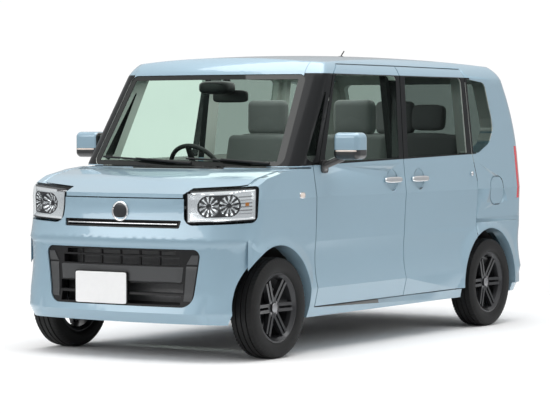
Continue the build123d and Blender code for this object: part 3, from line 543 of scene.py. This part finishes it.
# Columns: name, then inner X, outer X and Z of the low edge and of the high edge
CHEEKS = [
    ("grille_cheek", (0.402, 0.450, 0.310), (0.412, 0.478, 0.500)),
    ("grille_notch", (0.412, 0.478, 0.502), (0.446, 0.486, 0.556)),
]
for side, sign in (("left", 1), ("right", -1)):
    for label, low, high in CHEEKS:
        low_edge, high_edge = ((sign * inner, sign * outer, z) for inner, outer, z in (low, high))
        grille_sheet(f"{label}_{side}", low_edge, high_edge)
marker_tones = ((0.72, 0.70, 0.68, 1), (0.80, 0.62, 0.50, 1))
marker_lens = finish_of("marker_lens", *marker_tones, 60.0, 0.1, Coat_Weight=1.0)
for side, sign in (("left", 1), ("right", -1)):
    spot = on_body(f"fender_{side}", (sign * 3, -1.016, 0.852), (-sign, 0, 0))
    lens = pill(spot, (0.014, 0.046, 0.024), power=3.0)
    fitted(f"side_marker_{side}", lens, marker_lens, "car_body")
    bezel = pill(spot, (0.006, 0.058, 0.034), power=3.0)
    fitted(f"side_marker_bezel_{side}", bezel, chrome, "car_body")


# Door furniture: chromed skins on the bar handles, lock dots, and mirrors with a painted cap, a black
# foot and lower half, silvered glass and a slim repeater lens. All clipped to the doors.

# Columns: row, middle of the handle along Y, the body that carries it
HANDLES = [("front", -0.0465, "front_door_{}"), ("rear", 0.267, "car_body")]
CAP_FOOT = 1.092
CAP_INNER_X = 0.797
mirror_glass = finish_of("mirror_glass", (0.85, 0.86, 0.87, 1), (0.9, 0.9, 0.9, 1), 5.0, 0.02, metallic=1.0)
mirror_paint = paint("mirror_paint")
nodes, links = mirror_paint.node_tree.nodes, mirror_paint.node_tree.links
x, _, z = object_xyz(nodes, links)
low = reckon(nodes, links, "LESS_THAN", z, CAP_FOOT)
inner = reckon(nodes, links, "LESS_THAN", reckon(nodes, links, "ABSOLUTE", x, 0.0), CAP_INNER_X)
base_colour = nodes["Principled BSDF"].inputs["Base Color"]
painted = base_colour.links[0].from_socket
black_part = reckon(nodes, links, "MAXIMUM", low, inner)
links.new(mix_colour(nodes, links, black_part, painted, (0.02, 0.02, 0.021, 1)), base_colour)
# Columns: name, middle on the left side, size, power of the rounding, finish, slot
MIRROR_PARTS = [
    ("mirror_glass", (0.866, -0.687, 1.116), (0.140, 0.006, 0.112), 6.0, mirror_glass, "body_paint"),
    ("mirror_lamp", (0.872, -0.796, 1.086), (0.130, 0.010, 0.010), 4.0, marker_lens, "lamp_clear"),
]
for side, sign in (("left", 1), ("right", -1)):
    dress(bpy.data.objects[f"door_mirror_{side}_skin"], mirror_paint)
    for row, y, carrier in HANDLES:
        bar = pill((sign * 0.7395, y, 0.915), (0.017, 0.196, 0.034), power=3.2)
        fitted(f"{row}_handle_{side}", bar, chrome, carrier.format(side))
    lock = pill((sign * 0.7375, 0.905, 0.932), (0.012, 0.026, 0.026), power=2.5)
    fitted(f"door_lock_{side}", lock, chrome, "car_body")
    for label, (x, y, z), size, power, made, slot in MIRROR_PARTS:
        fitted(f"{label}_{side}", pill((sign * x, y, z), size, power=power), made, f"front_door_{side}")


# Wipers: two black arms and blades resting low on the windscreen. Pressed steel and rubber on spindles
# in the cowl.

def on_screen(x, z, lift):
    """A point in front of the windscreen, raised off it by the lift."""
    return on_body("windscreen", (x, -3, z), (0, 1, 0)) + Vector((0, -lift, lift * 0.6))


# Columns: name, blade's two ends as X and height, the arm's foot
WIPERS = [
    ("driver", (-0.56, 1.045), (-0.02, 1.022), (0.10, 1.010)),
    ("passenger", (0.05, 1.040), (0.50, 1.024), (0.56, 1.010)),
]
for label, tip, root, foot in WIPERS:
    share = np.linspace(0, 1, 15)[:, None]
    blade_line = np.asarray(tip) + (np.asarray(root) - tip) * share
    blade = tube([on_screen(x, z, 0.006) for x, z in blade_line], 0.0055, sides=8)
    fitted(f"wiper_blade_{label}", blade, black_plastic, "car_body")
    middle = (np.asarray(tip) + root) / 2
    arm_line = np.asarray(foot) + (middle - foot) * share
    arm = tube([on_screen(x, z, 0.014) for x, z in arm_line], np.linspace(0.009, 0.005, 15), sides=8)
    fitted(f"wiper_arm_{label}", arm, black_plastic, "car_body")


# Tyres: moulded rubber on the alloy rims, rounded at the sides, with grooves round the tread and slanted
# cuts across the shoulders. A cap and four steel nuts sit on each hub.

TYRE_RADIUS = 0.266
TRACK_HALF = 0.65
SHOULDER_CUTS = 72
CUT_DEPTH = 0.0045
NUT_CIRCLE = 0.038
AXLES = (("front", -1.222), ("rear", 1.173))


def tyre(name, x, y, sign):
    """The section turned round the axle: sidewalls as arcs, a nearly flat tread with sunk grooves, and
    shoulder cuts where a wave along the circumference is high."""
    turn = np.linspace(0, 2 * pi, 216, endpoint=False)
    side_x = np.array([0.058, 0.066, 0.0725, 0.0765, 0.0775, 0.0770, 0.0740, 0.0690, 0.0620])
    side_r = np.array([0.181, 0.186, 0.194, 0.206, 0.220, 0.234, 0.247, 0.257, 0.2625])
    tread_x = np.array([0.054, 0.046, 0.036, 0.0345, 0.0285, 0.027, 0.014, 0.0035, 0.002])
    tread_r = np.array([0.2645, 0.2655, 0.266, 0.259, 0.259, 0.266, 0.266, 0.266, 0.259])
    half_x, half_r = np.r_[side_x, tread_x], np.r_[side_r, tread_r]
    across_x, across_r = np.r_[half_x, -half_x[::-1]], np.r_[half_r, half_r[::-1]]
    shoulder = np.clip((np.abs(across_x) - 0.034) / 0.01, 0, 1) * (across_r > 0.25)
    wave = np.sin(SHOULDER_CUTS * (turn[None, :] + across_x[:, None] * 2.5)) > 0.72
    radius = across_r[:, None] - CUT_DEPTH * wave * shoulder[:, None]
    points = np.stack([
        x + sign * across_x[:, None] * np.ones_like(turn),
        y + radius * np.cos(turn),
        TYRE_RADIUS + radius * np.sin(turn),
    ], axis=-1).reshape(-1, 3)
    return mesh_of(name, points, grid_faces(len(across_x), len(turn), closed=True), rubber)


nut_steel = finish_of("nut_steel", (0.3, 0.3, 0.31, 1), (0.36, 0.36, 0.37, 1), 300.0, 0.3, metallic=0.9)
for place_name, axle in AXLES:
    for side, sign in (("left", 1), ("right", -1)):
        body = f"wheel_{place_name}_{side}"
        made_tyre = tyre(f"tread_{place_name}_{side}", sign * TRACK_HALF, axle, sign)
        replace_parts(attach(made_tyre, body), f"tyre_{place_name}_{side}")
        caps = [pill((sign * 0.692, axle, TYRE_RADIUS), (0.010, 0.052, 0.052), power=2.4)]
        for i in range(4):
            turn = radians(45 + 90 * i)
            nut = (sign * 0.676, axle + NUT_CIRCLE * cos(turn), TYRE_RADIUS + NUT_CIRCLE * sin(turn))
            caps.append(pill(nut, (0.022, 0.013, 0.013), power=5.0, rows=8, columns=12))
        points = np.concatenate([part[0] for part in caps])
        starts = np.cumsum([0] + [len(part[0]) for part in caps[:-1]])
        faces = np.concatenate([part[1] + start for part, start in zip(caps, starts)])
        fitted(f"cap_{place_name}_{side}", (points, faces), nut_steel, body)


# Cabin: a sensor housing and mirror on a stalk behind the screen, a hood over the instruments and cloth
# seats. The mouldings are plastic; the seats are foam pads in sewn cloth, six in front and six behind.

# Columns: name, middle, size, power of the rounding, finish
CABIN = [
    ("sensor_housing", (0.0, -0.735, 1.432), (0.200, 0.130, 0.075), 3.5, black_plastic),
    ("rear_view_mirror", (0.0, -0.600, 1.385), (0.230, 0.028, 0.070), 5.0, black_plastic),
    ("mirror_stalk", (0.0, -0.640, 1.440), (0.022, 0.080, 0.090), 3.0, black_plastic),
    ("instrument_hood", (-0.330, -0.680, 0.972), (0.360, 0.200, 0.110), 3.0, dash_plastic),
    ("steering_boss", (-0.330, -0.456, 0.956), (0.150, 0.050, 0.120), 3.0, dash_plastic),
]
for piece, middle, size, power, made in CABIN:
    points, faces = pill(middle, size, power)
    body = "steering_wheel" if piece == "steering_boss" else "car_body"
    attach(mesh_of(piece, points, faces, made), body)

# Columns: name, middle, size, lean in degrees
PADS = []
for side, sign in (("left", 1), ("right", -1)):
    PADS += [
        (f"front_cushion_{side}", (sign * 0.30, -0.120, 0.625), (0.49, 0.49, 0.150), 0),
        (f"front_back_{side}", (sign * 0.30, 0.190, 0.905), (0.48, 0.125, 0.54), 13),
        (f"front_headrest_{side}", (sign * 0.30, 0.262, 1.268), (0.255, 0.095, 0.20), 6),
        (f"rear_cushion_{side}", (sign * 0.238, 0.890, 0.625), (0.47, 0.49, 0.150), 0),
        (f"rear_back_{side}", (sign * 0.238, 1.200, 0.905), (0.47, 0.125, 0.54), 13),
        (f"rear_headrest_{side}", (sign * 0.238, 1.272, 1.268), (0.22, 0.09, 0.16), 6),
    ]


def pad(name, middle, size, lean):
    """A stuffed pad: a rounded block whose faces crown by a cosine and whose corners pull in."""
    points, faces = pill((0, 0, 0), size, power=5.0, rows=26, columns=52)
    share = points / (np.asarray(size) / 2)
    thin = int(np.argmin(size))
    wide = [axis for axis in range(3) if axis != thin]
    crown = np.cos(share[:, wide[0]] * pi / 2.2) * np.cos(share[:, wide[1]] * pi / 2.2)
    points[:, thin] *= 0.80 + 0.22 * crown
    turn = radians(-lean)
    y = points[:, 1] * cos(turn) - points[:, 2] * sin(turn)
    z = points[:, 1] * sin(turn) + points[:, 2] * cos(turn)
    points = np.stack([points[:, 0], y, z], axis=1) + np.asarray(middle)
    made = mesh_of(name, points, faces, cloth)
    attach(made, "car_body")
    return made


for values in PADS:
    pad(*values)


# Stage: a white floor that fades into a white backdrop, soft lamps above and beside the car, a weak one
# in the cabin, and the camera of the photo. None of it belongs to the car.

FLOOR = 0.0
FLOOR_SOLID_TO = 2.6
FLOOR_GONE_FROM = 4.2
floor_points = [(-60, -60, FLOOR), (60, -60, FLOOR), (60, 60, FLOOR), (-60, 60, FLOOR)]
floor_tones = ((0.90, 0.90, 0.90, 1), (0.91, 0.91, 0.91, 1))
floor_finish = finish_of("floor", *floor_tones, 2.0, 0.9, Specular_IOR_Level=0.1)
nodes, links = floor_finish.node_tree.nodes, floor_finish.node_tree.links
place = nodes.new("ShaderNodeTexCoord")
away = nodes.new("ShaderNodeVectorMath")
away.operation = "LENGTH"
links.new(place.outputs["Object"], away.inputs[0])
fade = nodes.new("ShaderNodeMapRange")
fade.inputs["From Min"].default_value = FLOOR_SOLID_TO
fade.inputs["From Max"].default_value = FLOOR_GONE_FROM
links.new(away.outputs["Value"], fade.inputs["Value"])
gone = nodes.new("ShaderNodeBsdfTransparent")
blend = nodes.new("ShaderNodeMixShader")
links.new(fade.outputs[0], blend.inputs[0])
links.new(nodes["Principled BSDF"].outputs[0], blend.inputs[1])
links.new(gone.outputs[0], blend.inputs[2])
links.new(blend.outputs[0], nodes["Material Output"].inputs["Surface"])
mesh_of("floor", floor_points, [(0, 1, 2, 3)], floor_finish, smooth=False)

world = bpy.data.worlds.new("studio")
bpy.context.scene.world = world
world.use_nodes = True
nodes, links = world.node_tree.nodes, world.node_tree.links
place = nodes.new("ShaderNodeTexCoord")
parts = nodes.new("ShaderNodeSeparateXYZ")
links.new(place.outputs["Generated"], parts.inputs[0])
ramp = nodes.new("ShaderNodeValToRGB")
ramp.color_ramp.elements[0].position = 0.0
ramp.color_ramp.elements[0].color = (0.42, 0.43, 0.44, 1)
ramp.color_ramp.elements[1].position = 0.75
ramp.color_ramp.elements[1].color = (0.85, 0.85, 0.85, 1)
links.new(parts.outputs[2], ramp.inputs[0])
ray = nodes.new("ShaderNodeLightPath")
backdrop = mix_colour(nodes, links, ray.outputs["Is Camera Ray"], ramp.outputs[0], (1.0, 1.0, 1.0, 1))
links.new(backdrop, nodes["Background"].inputs["Color"])
nodes["Background"].inputs["Strength"].default_value = 1.02

# Columns: name, place, size, power, the point it faces
LAMPS = [
    ("roof_light", (0.5, -0.5, 6.0), (7.0, 5.0), 330.0, (0, 0, 0)),
    ("front_light", (-3.5, -7.0, 3.5), (4.0, 3.0), 120.0, (0, -1.2, 0.7)),
    ("cabin_light", (0.0, 0.15, 1.47), (0.9, 1.9), 9.0, (0, 0.15, 0)),
    ("side_light", (7.5, 1.5, 3.2), (5.0, 2.5), 70.0, (0.7, 0.3, 0.8)),
]
for lamp_name, spot, size, power, target in LAMPS:
    data = bpy.data.lights.new(lamp_name, "AREA")
    data.shape = "RECTANGLE"
    data.size, data.size_y = size
    data.energy = power
    lamp = bpy.data.objects.new(lamp_name, data)
    bpy.context.scene.collection.objects.link(lamp)
    lamp.location = spot
    lamp.rotation_euler = (Vector(target) - Vector(spot)).to_track_quat("-Z", "Y").to_euler()

CAMERA_YAW = 32.53
CAMERA_PITCH = 2.06
camera_data = bpy.data.cameras.new("camera")
camera_data.sensor_width = 36
camera_data.lens = 155.1
camera = bpy.data.objects.new("camera", camera_data)
bpy.context.scene.collection.objects.link(camera)
camera.location = (7.368, -11.688, 1.245)
camera.rotation_euler = (radians(90 - CAMERA_PITCH), 0, radians(CAMERA_YAW))
bpy.context.scene.camera = camera
bpy.context.scene.view_settings.view_transform = "Standard"
